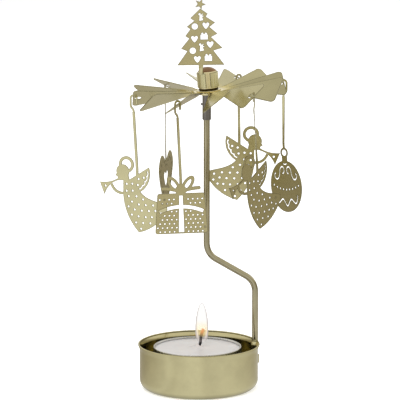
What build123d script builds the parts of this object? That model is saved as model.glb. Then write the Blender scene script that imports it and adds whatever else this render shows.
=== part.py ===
from build123d import *
import os
from math import atan2, cos, degrees, radians, sin, tan

# A rotary tealight carousel: a sheet-metal cup holds a tealight and a bent rod, and a
# twelve-blade wheel with six stamped ornaments turns on the needle at the rod's top.
# Millimetres, +Z up, origin at the centre of the cup's base, +X towards the rod.

os.makedirs("parts", exist_ok=True)

# Sheet and fits
sheet = 0.35                # wheel, tree and ornaments are stamped from this sheet
fit = 0.03                  # radial clearance of one piece pushed into another
hang_clearance = 0.55       # room between the bridge of a blade and the hook round it

# Candle cup
cup_radius = 25.6           # outside of the wall
cup_height = 19.8
cup_wall = 0.45
cup_corner = 4.5            # outer radius where the wall meets the base
rim_bead = 0.35             # radius of the rolled rim

# Socket lanced in the cup's wall for the rod
socket_floor = 5.0
strap_low = 9.2             # the strap outside the rod runs between these heights
strap_high = 13.3
rod_standoff = 0.05         # rod's axis outside the cup's wall

# Bent rod
rod_radius = 1.35
rod_offset = 3.55           # upper run, from the cup's axis
rod_bend_low = 45.6
rod_bend_high = 59.1
rod_bend_radius = 8.5
rod_top = 126.1

# Sleeve, cross pin and needle at the rod's top
sleeve_radius = 1.88
sleeve_low = 117.6
sleeve_high = 133.8
sleeve_chamfer = 0.4
pin_radius = 0.4
pin_height = 124.2
pin_proud = 0.8
pin_bearing = 140.0         # degrees from +X, the side on which the pin stands out
needle_radius = 0.6
needle_taper = 5.0
needle_tip = 139.8

# Tealight
tealight_radius = 19.0
tealight_height = 18.2
tealight_wall = 0.25
tealight_shift = 0.65       # stands off centre, away from the rod
tealight_corner = 1.2
wax_clearance = 0.05
wax_below_edge = 0.9
wax_mound_radius = 5.0      # wax stands up round the wick
wax_mound_height = 2.2
wick_radius = 0.65
wick_stand = 5.8            # wick's height above the wax
wick_lean = 2.6             # the burnt end bends over by this much
wick_bearing = -18.0
wick_base_radius = 6.5
wick_base_sheet = 0.3
wick_ferrule_height = 2.4
wick_ferrule_wall = 0.3

# Wheel
rotor_tilt = 5.0            # the loaded wheel settles this far off level
tilt_bearing = 162.0        # direction in which its axis leans
wheel_drop = 9.6            # needle's tip down to the top of the wheel's hub
blade_count = 12
blade_start = -12.0         # direction of the first blade
blade_pitch = 33.0
blade_reach = 32.7          # wheel's axis to the straight outer edge of a blade
blade_chord = 16.0
blade_corner = 1.6
hub_flat = 6.4              # wheel's axis to the fold line of a neck
neck_width = 2.7
neck_end = 10.0
hook_hole = 2.9
hook_bridge = 0.8           # metal left between a hook's hole and the blade's edge

# Pivot cap, washer and tree on the hub
cap_radius = 4.15
cap_shoulder = 1.3          # needle's tip down to where the dome begins
cap_brim = 5.3
cap_tail = 1.2              # skirt left below the wheel, which the washer grips
pivot_gap = 0.25            # air between the needle's tip and the cap's dimple
washer_radius = 5.9
washer_thickness = 0.5
collar_clearance = 0.12
collar_low = 7.9            # needle's tip down to the collar's lower and upper edge
collar_high = 1.6
collar_gap_start = 24.0     # degrees from the stem to the collar's open part
collar_gap = 26.0           # degrees of the collar left open
tree_bearing = 217.0        # direction from the cap's axis to the stem
tree_twist = 35.0           # the stem is twisted by this much below the tree
tree_straighten = -4.2      # the tree is bent back upright on its stem
stem_width = 2.0
stem_lap = 0.5              # flat part of the stem at both of its ends
tree_lift = 2.1             # needle's tip up to the foot of the tree
tree_half_width = 10.05
tree_top = 24.2
star_radius = 2.4
star_waist = 1.05
star_height = 26.1
star_turn = 13.0

# Hangers
strip_width = 1.2
hook_width = 0.85           # the strip is cut narrower where it is bent into the hook
hook_leg = 2.8
hook_free_leg = 2.5
hook_drop = 5.8             # bridge down to the top of the straight strip
hook_turn = -25.0           # hook's plane, from the blade's own direction
strip_lap = 2.0             # flat end of the strip above the figure's outline

# Ornaments: blade direction, turn of the figure from it, lean of the strip and lean of the
# figure in the figure's plane, and the length from the bridge down to the figure
angel_left_place = (168.0, -31.0, 2.7, 0.0, 32.8)
angel_front_place = (288.0, -79.0, 4.1, 2.0, 32.0)
angel_back_place = (48.0, -66.0, -0.6, 0.0, 28.9)
gift_place = (228.0, -60.0, 2.2, 1.0, 33.2)
bauble_place = (-12.0, -61.0, -0.8, -7.0, 28.0)
heart_place = (108.0, -49.0, -2.0, 0.0, 34.6)

angel_tab = 0.9             # how far each figure's strip runs on into its outline
gift_tab = 3.0
bauble_tab = 0.5
heart_tab = 1.5
angel_dot = 0.95
gift_dot = 0.7
gift_dot_pitch = 2.0
gift_dot_margin = 0.85
bauble_radius = 11.1
bauble_ring_width = 5.1
bauble_ring_height = 4.3
bauble_ring_stroke = 0.8
bauble_cap_width = 3.5
bauble_cap_height = 1.3
bauble_dot = 1.0
heart_half_width = 12.8
heart_lobe = 4.6
heart_tip = 19.5
heart_eye_share = 0.3       # the cut-out heart's size, as a share of the whole
heart_eye_drop = 4.6
heart_dot = 1.1
heart_dot_count = 22
heart_dot_inset = 2.3
slit = 0.45                 # width of the narrow decorative slits
scroll_slit = 0.6

# Sizes that follow from the ones above
rod_foot = cup_radius + rod_standoff
rod_bore = rod_radius + fit
needle_foot = rod_top
tilt = radians(rotor_tilt)
lean = radians(tilt_bearing)
rotor_up = Vector(sin(tilt) * cos(lean), sin(tilt) * sin(lean), cos(tilt))
rotor_plane = Plane((rod_offset, 0, needle_tip), Vector(0, 1, 0).cross(rotor_up), rotor_up)
wheel_plane = rotor_plane.offset(-wheel_drop - sheet / 2)
bridge_radius = blade_reach - hook_bridge / 2
hook_inner = hook_bridge / 2 + hang_clearance
hook_middle = hook_inner + hook_width / 2


def turned(plane, about_x=0, about_y=0, about_z=0):
    """A plane turned about its own axes."""
    return Plane(plane.location * Location((0, 0, 0), (about_x, about_y, about_z)))


def upright_plane(origin, bearing, plane_lean):
    """A standing plane whose x axis points along bearing, then leans in its own plane."""
    level = radians(bearing)
    standing = Plane(origin, (cos(level), sin(level), 0), (sin(level), -cos(level), 0))
    return turned(standing, about_z=plane_lean)


def hook_plane(place):
    """Plane of an ornament's hook, with its origin in the middle of the blade's bridge."""
    direction = place[0]
    angle = radians(direction)
    bridge = wheel_plane.from_local_coords(
        Vector(bridge_radius * cos(angle), bridge_radius * sin(angle), 0)
    )
    return upright_plane(bridge, direction + 180 + hook_turn, 0)


def figure_plane(place):
    """Plane of an ornament's figure, with its origin where the strip meets the outline."""
    direction, figure_turn, strip_lean, figure_lean, hang = place
    bearing = direction + 180 + figure_turn
    plumb = upright_plane(hook_plane(place).origin, bearing, 0)
    joint = plumb.from_local_coords(Vector(hang * tan(radians(strip_lean)), -hang, 0))
    return upright_plane(joint, bearing, figure_lean)


def hanger(place):
    """Open hook and the flat strip below it, twisted to meet its figure."""
    hook = hook_plane(place)
    strip_top = Plane(hook.from_local_coords(Vector(0, -hook_drop, 0)), hook.x_dir, hook.y_dir)
    figure = figure_plane(place)
    strip_foot = Plane(
        figure.from_local_coords(Vector(0, strip_lap, 0)), figure.x_dir, figure.y_dir
    )
    with BuildPart() as wire:
        with BuildSketch(hook):
            with BuildLine():
                Bezier(
                    (0, -hook_drop),
                    (0, -(hook_drop + hook_leg) / 2),
                    (-hook_middle, -(hook_drop + hook_leg) / 2),
                    (-hook_middle, -hook_leg),
                )
                Line((-hook_middle, -hook_leg), (-hook_middle, 0))
                CenterArc((0, 0), hook_middle, 180, -180)
                Line((hook_middle, 0), (hook_middle, -hook_free_leg))
            trace(line_width=hook_width)
        extrude(amount=sheet / 2, both=True)
        with BuildSketch(strip_top):
            Rectangle(strip_width, sheet)
        with BuildSketch(strip_foot):
            Rectangle(strip_width, sheet)
        loft(ruled=True)
    return wire.part


def dot_points(face, pitch, margin):
    """Points of a staggered grid that lie inside a face, at least margin from its edges."""
    box = face.bounding_box()
    row_step = pitch * sin(radians(60))
    rows = int(box.size.Y / row_step) + 1
    columns = int(box.size.X / pitch) + 1
    edges = face.edges()
    points = []
    for row in range(rows):
        for column in range(columns):
            x = box.center().X + (column - columns // 2 + 0.5 * (row % 2)) * pitch
            point = Vector(x, box.max.Y - margin - row * row_step)
            clear = min(edge.distance_to(point) for edge in edges) > margin
            if clear and face.is_inside(point):
                points.append(point)
    return points


def heart_outline(half_width, lobe, tip):
    """Closed heart with its notch at the origin."""
    with BuildSketch() as heart_face:
        with BuildLine():
            Spline(
                (0, 0),
                (half_width * 0.25, lobe * 0.62),
                (half_width * 0.56, lobe),
                (half_width * 0.9, lobe * 0.4),
                (half_width, -lobe * 0.5),
            )
            ThreePointArc(
                (half_width, -lobe * 0.5), (half_width * 0.66, -tip * 0.55), (0, -tip)
            )
            mirror(about=Plane.YZ)
        make_face()
    return heart_face.sketch


def finish(piece, name):
    """Label a piece and write its file."""
    piece.label = name
    export_step(piece, f"parts/{name}.step")


# Candle cup: a drawn sheet-metal dish with a rolled rim
with BuildPart() as candle_cup:
    with BuildSketch(Plane.XZ):
        with BuildLine():
            FilletPolyline(
                (0, cup_wall / 2),
                (cup_radius - cup_wall / 2, cup_wall / 2),
                (cup_radius - cup_wall / 2, cup_height - rim_bead),
                radius=cup_corner - cup_wall / 2,
            )
        trace(line_width=cup_wall)
        with Locations((cup_radius - cup_wall / 2 + rim_bead / 2, cup_height - rim_bead)):
            Circle(rim_bead)
        with Locations((-cup_radius, 0)):
            Rectangle(2 * cup_radius, 4 * cup_height, mode=Mode.SUBTRACT)
    revolve(axis=Axis.Z)
    # Strap outside the rod, and two lips pressed inwards above and below it
    for low, high, outside in (
        (socket_floor, strap_low, False),
        (strap_low, strap_high, True),
        (strap_high, cup_height, False),
    ):
        with BuildSketch(Plane.XY.offset(low)):
            with Locations((rod_foot, 0)):
                Circle(rod_bore + cup_wall)
            if outside:
                Circle(cup_radius - cup_wall, mode=Mode.SUBTRACT)
            else:
                Circle(cup_radius, mode=Mode.INTERSECT)
        extrude(amount=high - low)
    with BuildSketch(Plane.XY.offset(socket_floor)):
        with Locations((rod_foot, 0)):
            Circle(rod_bore)
    extrude(amount=cup_height, mode=Mode.SUBTRACT)
finish(candle_cup.part, "candle_cup")

# Rod: straight up from the socket, a slanted run over the flame, then up on the pivot's axis
with BuildPart() as rod:
    with BuildLine():
        FilletPolyline(
            (rod_foot, 0, socket_floor),
            (rod_foot, 0, rod_bend_low),
            (rod_offset, 0, rod_bend_high),
            (rod_offset, 0, rod_top),
            radius=rod_bend_radius,
        )
    with BuildSketch(Plane((rod_foot, 0, socket_floor))):
        Circle(rod_radius)
    sweep()
    pin_plane = turned(Plane((rod_offset, 0, pin_height)), about_z=pin_bearing)
    with BuildSketch(Plane(pin_plane.origin, pin_plane.y_dir, pin_plane.x_dir)):
        Circle(pin_radius + fit)
    extrude(amount=2 * rod_radius, both=True, mode=Mode.SUBTRACT)
finish(rod.part, "rod")

# Sleeve: pushed over the rod's end, and holds the needle
with BuildPart() as needle_sleeve:
    with BuildSketch(Plane.XY.offset(sleeve_low)):
        with Locations((rod_offset, 0)):
            Circle(sleeve_radius)
    extrude(amount=sleeve_high - sleeve_low)
    chamfer(needle_sleeve.faces().sort_by(Axis.Z)[-1].edges(), sleeve_chamfer)
    with BuildSketch(Plane.XY.offset(sleeve_low)):
        with Locations((rod_offset, 0)):
            Circle(rod_bore)
    extrude(amount=rod_top - sleeve_low, mode=Mode.SUBTRACT)
    with BuildSketch(Plane.XY.offset(needle_foot)):
        with Locations((rod_offset, 0)):
            Circle(needle_radius + fit)
    extrude(amount=sleeve_high - needle_foot, mode=Mode.SUBTRACT)
    with BuildSketch(Plane(pin_plane.origin, pin_plane.y_dir, pin_plane.x_dir)):
        Circle(pin_radius + fit)
    extrude(amount=2 * sleeve_radius, both=True, mode=Mode.SUBTRACT)
finish(needle_sleeve.part, "needle_sleeve")

# Cross pin: keeps the sleeve on the rod, and stands out on one side
with BuildPart() as sleeve_pin:
    pin_start = pin_plane.from_local_coords(Vector(-sleeve_radius, 0, 0))
    with BuildSketch(Plane(pin_start, pin_plane.y_dir, pin_plane.x_dir)):
        Circle(pin_radius)
    extrude(amount=2 * sleeve_radius + pin_proud)
finish(sleeve_pin.part, "sleeve_pin")

# Needle: a straight shank ground to a point
with BuildPart() as needle:
    with BuildSketch(Plane.XZ):
        with BuildLine():
            Polyline(
                (rod_offset, needle_foot),
                (rod_offset + needle_radius, needle_foot),
                (rod_offset + needle_radius, needle_tip - needle_taper),
                (rod_offset, needle_tip),
                close=True,
            )
        make_face()
    revolve(axis=Axis((rod_offset, 0, 0), (0, 0, 1)))
finish(needle.part, "needle")

# Tealight: a thin shell, the wax in it, and the wick on its tin base
tealight_plane = Plane((-tealight_shift, 0, cup_wall))
tealight_axis = Axis(tealight_plane.origin, (0, 0, 1))
tealight_section = Plane(tealight_plane.origin, (1, 0, 0), (0, -1, 0))
wax_top = tealight_height - wax_below_edge
mound_top = wax_top + wax_mound_height
ferrule_radius = wick_radius + fit + wick_ferrule_wall

with BuildPart() as tealight_shell:
    with BuildSketch(tealight_section):
        with BuildLine():
            FilletPolyline(
                (0, tealight_wall / 2),
                (tealight_radius - tealight_wall / 2, tealight_wall / 2),
                (tealight_radius - tealight_wall / 2, tealight_height),
                radius=tealight_corner,
            )
        trace(line_width=tealight_wall)
    revolve(axis=tealight_axis)
finish(tealight_shell.part, "tealight_shell")

with BuildPart() as tealight_wax:
    wax_radius = tealight_radius - tealight_wall - wax_clearance
    with BuildSketch(tealight_section):
        with BuildLine():
            Polyline(
                (wick_radius + wax_clearance, mound_top),
                (wick_radius + wax_clearance, tealight_wall + wick_ferrule_height + wax_clearance),
                (ferrule_radius + wax_clearance, tealight_wall + wick_ferrule_height + wax_clearance),
                (ferrule_radius + wax_clearance, tealight_wall + wick_base_sheet + wax_clearance),
                (wick_base_radius + wax_clearance, tealight_wall + wick_base_sheet + wax_clearance),
                (wick_base_radius + wax_clearance, tealight_wall + wax_clearance),
                (wax_radius - tealight_corner, tealight_wall + wax_clearance),
                (wax_radius, tealight_wall + tealight_corner),
                (wax_radius, wax_top),
                (wax_mound_radius, wax_top),
            )
            ThreePointArc(
                (wax_mound_radius, wax_top),
                (wax_mound_radius * 0.45, wax_top + wax_mound_height * 0.35),
                (wick_radius + wax_clearance, mound_top),
            )
        make_face()
    revolve(axis=tealight_axis)
finish(tealight_wax.part, "tealight_wax")

with BuildPart() as wick_base:
    with BuildSketch(tealight_section):
        with BuildLine():
            Polyline(
                (0, tealight_wall),
                (wick_base_radius, tealight_wall),
                (wick_base_radius, tealight_wall + wick_base_sheet),
                (ferrule_radius, tealight_wall + wick_base_sheet),
                (ferrule_radius, tealight_wall + wick_ferrule_height),
                (wick_radius + fit, tealight_wall + wick_ferrule_height),
                (wick_radius + fit, tealight_wall + wick_base_sheet),
                (0, tealight_wall + wick_base_sheet),
                close=True,
            )
        make_face()
    revolve(axis=tealight_axis)
finish(wick_base.part, "wick_base")

with BuildPart() as wick:
    wick_plane = turned(tealight_section, about_y=wick_bearing)
    wick_foot = tealight_wall + wick_base_sheet
    with BuildLine(wick_plane):
        Line((0, wick_foot), (0, mound_top))
        JernArc(
            (0, mound_top),
            (0, 1),
            -(wick_lean**2 + wick_stand**2) / (2 * wick_lean),
            degrees(2 * atan2(wick_lean, wick_stand)),
        )
    with BuildSketch(Plane(wick_plane.from_local_coords(Vector(0, wick_foot, 0)))):
        Circle(wick_radius)
    sweep()
finish(wick.part, "wick")

# Fan wheel: a flat hub whose twelve blades are folded to the same pitch on twisted necks
def fan_blade(direction, hooked):
    """One blade with its neck, in place on the wheel."""
    arm = turned(wheel_plane, about_z=direction)
    pitched = turned(arm, about_x=blade_pitch)
    with BuildPart() as blade:
        with BuildSketch(pitched) as blade_face:
            with BuildLine():
                Polyline(
                    (neck_end, -neck_width / 2),
                    (blade_reach, -blade_chord / 2),
                    (blade_reach, blade_chord / 2),
                    (neck_end, neck_width / 2),
                    close=True,
                )
            make_face()
            fillet(blade_face.vertices().group_by(Axis.X)[-1], blade_corner)
            if hooked:
                with Locations((blade_reach - hook_bridge - hook_hole / 2, 0)):
                    Circle(hook_hole / 2, mode=Mode.SUBTRACT)
        extrude(amount=sheet / 2, both=True)
        with BuildSketch(Plane(arm.from_local_coords(Vector(hub_flat, 0, 0)), arm.y_dir, arm.x_dir)):
            Rectangle(neck_width, sheet)
        neck_tip = arm.from_local_coords(Vector(neck_end, 0, 0))
        with BuildSketch(Plane(neck_tip, pitched.y_dir, pitched.x_dir)):
            Rectangle(neck_width, sheet)
        loft(ruled=True)
    return blade.part


blades = [
    fan_blade(blade_start + number * 360 / blade_count, number % 2 == 0)
    for number in range(blade_count)
]
with BuildPart() as fan_wheel:
    with BuildSketch(wheel_plane):
        RegularPolygon(
            hub_flat, blade_count, major_radius=False, rotation=blade_start + 180 / blade_count
        )
        Circle(cap_radius + fit, mode=Mode.SUBTRACT)
    extrude(amount=sheet / 2, both=True)
    add(blades)
finish(fan_wheel.part, "fan_wheel")

# Pivot cap: a drawn thimble with a brim that rests on the wheel
rotor_section = Plane(rotor_plane.origin, rotor_plane.x_dir, -rotor_plane.y_dir)
rotor_axis = Axis(rotor_plane.origin, rotor_plane.z_dir)
with BuildPart() as pivot_cap:
    cap_inner = cap_radius - sheet
    with BuildSketch(rotor_section):
        with BuildLine():
            TangentArc((0, pivot_gap + sheet), (cap_radius, -cap_shoulder), tangent=(1, 0))
            Polyline(
                (cap_radius, -cap_shoulder),
                (cap_radius, sheet - wheel_drop),
                (cap_brim, sheet - wheel_drop),
                (cap_brim, -wheel_drop),
                (cap_radius, -wheel_drop),
                (cap_radius, -wheel_drop - sheet - cap_tail),
                (cap_inner, -wheel_drop - sheet - cap_tail),
                (cap_inner, -cap_shoulder),
            )
            TangentArc((0, pivot_gap), (cap_inner, -cap_shoulder), tangent=(1, 0))
            Line((0, pivot_gap), (0, pivot_gap + sheet))
        make_face()
    revolve(axis=rotor_axis)
finish(pivot_cap.part, "pivot_cap")

# Hub washer: grips the cap's skirt below the wheel
with BuildPart() as hub_washer:
    with BuildSketch(rotor_plane.offset(-wheel_drop - sheet)):
        Circle(washer_radius)
        Circle(cap_radius + fit, mode=Mode.SUBTRACT)
    extrude(amount=-washer_thickness)
finish(hub_washer.part, "hub_washer")

# Tree topper: a stamped tree on a twisted stem, which runs down into a split collar round the cap
collar_inner = cap_radius + collar_clearance
collar_outer = collar_inner + sheet
collar_length = collar_low - collar_high
rotor_bearing = turned(rotor_plane, about_z=tree_bearing)
stem_plane = Plane(
    rotor_bearing.from_local_coords(Vector(collar_outer - sheet / 2, 0, -collar_high)),
    rotor_bearing.y_dir,
    rotor_bearing.x_dir,
)
tree_plane = turned(turned(stem_plane, about_y=tree_twist), about_z=tree_straighten)
tree_foot = collar_high + tree_lift
branch_tips_right = ((9.25, 7.3), (7.2, 13.4), (6.2, 18.2), (3.1, 22.0))
branch_notches_right = ((5.4, 6.2), (4.4, 12.0), (3.8, 16.3), (2.3, 20.7))
branch_tips_left = ((-8.35, 7.1), (-6.5, 12.5), (-5.75, 16.5), (-4.2, 20.2))
branch_notches_left = ((-5.7, 6.05), (-4.8, 11.4), (-4.3, 15.4), (-2.6, 19.0))
tree_hearts = ((2.3, 17.7), (-2.6, 12.0), (4.0, 9.6), (-1.5, 3.3))
tree_gifts = ((1.5, 12.0), (3.2, 2.8))
tree_rounds = ((-2.4, 16.6), (-3.4, 6.2))
tree_angels = ((0.4, 20.6), (0.5, 7.6))
tree_round = 1.35
tree_heart_half = 1.45
tree_heart_lobe = 0.55
tree_heart_tip = 2.3
tree_gift_width = 3.1
tree_gift_height = 2.1
tree_bow_width = 0.85
tree_bow_lean = 35.0
tree_angel_head = 0.5
tree_angel_gown = (
    (-0.85, -1.7),
    (0.9, -1.3),
    (0.35, 0.0),
    (1.2, 0.35),
    (0.35, 0.65),
    (0.8, 1.6),
    (-0.1, 0.95),
    (-0.7, 0.7),
)
small_heart = heart_outline(tree_heart_half, tree_heart_lobe, tree_heart_tip)
with BuildSketch() as small_gift:
    Rectangle(tree_gift_width, tree_gift_height)
    for side in (-1, 1):
        with Locations((side * tree_bow_width * 0.6, tree_gift_height / 2)):
            Rectangle(tree_bow_width, 2 * tree_bow_width, rotation=-side * tree_bow_lean)
with BuildSketch() as small_angel:
    with BuildLine():
        Polyline(tree_angel_gown, close=True)
    make_face()
    with Locations((-0.7, 1.2)):
        Circle(tree_angel_head)


def on_tree(places):
    """Places given above the tree's foot, in the tree's plane."""
    return Locations([(x, y + tree_foot) for x, y in places])


with BuildPart() as tree_topper:
    with BuildSketch(tree_plane):
        with BuildLine():
            right_side = [(tree_half_width, 0)]
            for notch, tip in zip(branch_notches_right, branch_tips_right):
                right_side += [notch, tip]
            left_side = [(-tree_half_width, 0)]
            for notch, tip in zip(branch_notches_left, branch_tips_left):
                left_side += [notch, tip]
            tree_outline = right_side + [(0, tree_top)] + left_side[::-1]
            Polyline([(x, y + tree_foot) for x, y in tree_outline], close=True)
        make_face()
        with BuildLine():
            star_points = []
            for number in range(10):
                reach = star_waist if number % 2 else star_radius
                angle = radians(star_turn - 90 + 36 * number)
                star_points.append((reach * cos(angle), tree_foot + star_height + reach * sin(angle)))
            Polyline(star_points, close=True)
        make_face()
        with on_tree(tree_rounds):
            Circle(tree_round, mode=Mode.SUBTRACT)
        with on_tree(tree_hearts):
            add(small_heart, mode=Mode.SUBTRACT)
        with on_tree(tree_gifts):
            add(small_gift.sketch, mode=Mode.SUBTRACT)
        with on_tree(tree_angels):
            add(small_angel.sketch, mode=Mode.SUBTRACT)
        with Locations((0, tree_foot)):
            Rectangle(stem_width, 2 * stem_lap)
    extrude(amount=sheet / 2, both=True)
    with BuildSketch(stem_plane):
        Rectangle(stem_width, 2 * stem_lap)
    extrude(amount=sheet / 2, both=True)
    stem_start = stem_plane.from_local_coords(Vector(0, stem_lap, 0))
    stem_end = tree_plane.from_local_coords(Vector(0, tree_foot - stem_lap, 0))
    with BuildSketch(Plane(stem_start, stem_plane.x_dir, stem_plane.y_dir)):
        Rectangle(stem_width, sheet)
    with BuildSketch(Plane(stem_end, tree_plane.x_dir, tree_plane.y_dir)):
        Rectangle(stem_width, sheet)
    loft(ruled=True)
    with BuildSketch(rotor_plane.offset(-collar_low)):
        Circle(collar_outer)
        Circle(collar_inner, mode=Mode.SUBTRACT)
        with BuildLine():
            gap_line = []
            for angle in (collar_gap_start, collar_gap_start + collar_gap):
                gap_line.append(Vector(2 * cap_radius, 0).rotate(Axis.Z, tree_bearing + angle))
            Polyline((0, 0), *gap_line, close=True)
        make_face(mode=Mode.SUBTRACT)
    extrude(amount=collar_length)
    with BuildSketch(rotor_plane.offset(-collar_low)):
        Circle(collar_inner)
    extrude(amount=collar_length, mode=Mode.SUBTRACT)
finish(tree_topper.part, "tree_topper")

# Angels: three of one stamping, blowing a trumpet. Places are from the strip's joint.
halo_place = (-5.1, 4.0)
halo_radius = 3.6
halo_hole = 2.25
head_place = (-6.85, 0.9)
head_radius = 3.05
face_line = ((-9.3, 0.6), (-10.3, -1.0), (-9.4, -1.4), (-9.0, -2.4), (-8.0, -3.0), (-5.0, -3.0))
arm_width = 1.15
trumpet_dot_place = (-15.1, -6.0)
gown_dots = (
    (0.7, -1.9), (3.1, -1.2), (0.3, -4.55), (-2.3, -4.2), (-5.0, -4.45),
    (-5.05, -7.45), (-2.15, -7.2), (-4.0, -9.75), (-0.35, -9.55), (2.8, -10.65),
    (-2.5, -12.0), (0.75, -13.0), (4.05, -13.05), (7.55, -12.9), (11.0, -13.5),
    (-4.15, -14.25), (-1.25, -15.35), (2.15, -15.6), (5.55, -15.5), (8.6, -15.2),
    (11.3, -16.1), (-2.6, -17.7), (0.6, -18.2), (4.0, -18.3), (6.95, -18.05),
    (9.5, -17.9), (-0.55, -20.95), (2.8, -20.9), (6.2, -20.8), (1.85, -23.5),
)


def angel(place):
    """An angel seen from its left side, with its strip fixed to the top of the wing."""
    strip = hanger(place)
    with BuildPart() as figure:
        with BuildSketch(figure_plane(place)):
            with BuildLine():
                Line((-4.2, -0.3), (-6.6, -2.3))
                Line((-6.6, -2.3), (-6.6, -9.1))
                ThreePointArc((-6.6, -9.1), (-4.2, -18.2), (0.9, -25.2))
                ThreePointArc((0.9, -25.2), (8.7, -21.3), (14.3, -14.2))
                Line((14.3, -14.2), (14.0, -12.4))
                Spline((14.0, -12.4), (8.7, -11.1), (3.7, -9.3), (1.5, -7.5))
                ThreePointArc((1.5, -7.5), (5.2, -3.4), (5.6, 3.5))
                Line((5.6, 3.5), (-3.7, -2.5))
                Line((-3.7, -2.5), (-4.2, -0.3))
            make_face()
            with Locations(halo_place):
                Circle(halo_radius)
                Circle(halo_hole, mode=Mode.SUBTRACT)
            with Locations(head_place):
                Circle(head_radius)
            with BuildLine():
                Polyline(face_line, close=True)
            make_face()
            with BuildLine():
                ThreePointArc((-8.6, -1.9), (-12.9, -3.9), (-17.8, -4.4))
                Line((-17.8, -4.4), (-15.6, -9.7))
                ThreePointArc((-15.6, -9.7), (-12.9, -5.4), (-8.2, -3.0))
                Line((-8.2, -3.0), (-8.6, -1.9))
            make_face()
            with BuildLine():
                ThreePointArc((-12.2, -4.9), (-10.0, -7.8), (-6.2, -8.5))
            trace(line_width=arm_width)
            with Locations(trumpet_dot_place, *gown_dots):
                RegularPolygon(angel_dot / 2, 8, mode=Mode.SUBTRACT)
            with BuildLine():
                ThreePointArc((4.7, 1.6), (5.1, 0.4), (4.5, -0.7))
                ThreePointArc((4.5, -0.7), (4.6, -2.0), (3.6, -2.9))
                ThreePointArc((3.6, -2.9), (3.4, -4.2), (2.3, -4.8))
                ThreePointArc((2.3, -4.8), (1.9, -5.8), (0.9, -6.2))
            trace(line_width=slit, mode=Mode.SUBTRACT)
            with Locations((0, strip_lap)):
                Rectangle(strip_width, strip_lap + angel_tab, align=(Align.CENTER, Align.MAX))
        extrude(amount=sheet / 2, both=True)
        add(strip)
    return figure.part


for angel_name, angel_place in (
    ("angel_left", angel_left_place),
    ("angel_front", angel_front_place),
    ("angel_back", angel_back_place),
):
    finish(angel(angel_place), angel_name)

# Gift: a parcel with a ribbon cut out of it and a bow on top
gift_strip = hanger(gift_place)
gift_top = -4.7
gift_bottom = -22.0
gift_top_half = 9.95
gift_bottom_half = 11.15
gift_corner = 1.0
gift_seam = 0.6             # metal left above and below the upright ribbon
ribbon_top_half = 0.7
ribbon_bottom_half = 1.15
ribbon_width = 1.45
ribbon_cross = -10.5
ribbon_sag = 2.1
bow_place = (3.0, -0.9)
bow_length = 4.1
bow_width = 2.05
bow_eye_length = 2.35
bow_eye_width = 0.8
bow_lean = 55.0
knot_place = (0, -3.4)
knot_radius = 2.35
tail_width = 1.5
tail_end = (7.7, -2.6)
with BuildSketch() as gift_box:
    with BuildLine():
        Polyline(
            (-gift_top_half, gift_top),
            (gift_top_half, gift_top),
            (gift_bottom_half, gift_bottom),
            (-gift_bottom_half, gift_bottom),
            close=True,
        )
    make_face()
    fillet(gift_box.vertices(), gift_corner)
    with BuildLine():
        Polyline(
            (-ribbon_top_half, gift_top - gift_seam),
            (ribbon_top_half, gift_top - gift_seam),
            (ribbon_bottom_half, gift_bottom + gift_seam),
            (-ribbon_bottom_half, gift_bottom + gift_seam),
            close=True,
        )
    make_face(mode=Mode.SUBTRACT)
    with BuildLine():
        ThreePointArc(
            (-gift_top_half + gift_seam, ribbon_cross - ribbon_sag),
            (0, ribbon_cross),
            (gift_top_half - gift_seam, ribbon_cross - ribbon_sag),
        )
    trace(line_width=ribbon_width, mode=Mode.SUBTRACT)
gift_dots = dot_points(gift_box.sketch.face(), gift_dot_pitch, gift_dot_margin)
with BuildPart() as gift:
    with BuildSketch(figure_plane(gift_place)):
        add(gift_box.sketch)
        with Locations(gift_dots):
            RegularPolygon(gift_dot / 2, 6, mode=Mode.SUBTRACT)
        for side in (-1, 1):
            with Locations((side * bow_place[0], bow_place[1])):
                Ellipse(bow_length, bow_width, rotation=side * bow_lean)
                Ellipse(bow_eye_length, bow_eye_width, rotation=side * bow_lean, mode=Mode.SUBTRACT)
            with BuildLine():
                ThreePointArc((0, -4.0), (side * 3.8, -3.0), (side * tail_end[0], tail_end[1]))
            trace(line_width=tail_width)
            with Locations((side * tail_end[0], tail_end[1])):
                Circle(tail_width / 2)
        with Locations(knot_place):
            Circle(knot_radius)
        with Locations((0, strip_lap)):
            Rectangle(strip_width, strip_lap + gift_tab, align=(Align.CENTER, Align.MAX))
    extrude(amount=sheet / 2, both=True)
    add(gift_strip)
finish(gift.part, "gift")

# Bauble: a disc under a cap and a ring, pierced with scrolls, dots and a wave
bauble_strip = hanger(bauble_place)
bauble_centre = -bauble_ring_height - bauble_cap_height - bauble_radius
scroll = (
    (2.3, 5.5), (0.95, 6.6), (1.2, 7.9), (2.2, 8.5), (3.5, 7.8), (4.1, 6.3),
    (4.7, 4.3), (6.0, 3.1), (7.4, 3.5), (7.9, 4.8), (6.9, 5.7),
)
wave = ((-7.8, -3.6), (-5.3, -6.9), (-3.0, -5.5), (0, -8.4), (3.0, -5.5), (5.3, -6.9), (7.8, -3.6))
seam = ((-1.4, 10.0), (0, 9.5), (1.4, 10.0))
bauble_dot_row = -1.4       # lowest dot, from the disc's centre
bauble_dot_rise = 1.9
bauble_dot_step = 2.2


def on_bauble(points):
    """Points given from the disc's centre, in the bauble's plane."""
    return [(x, y + bauble_centre) for x, y in points]


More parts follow.
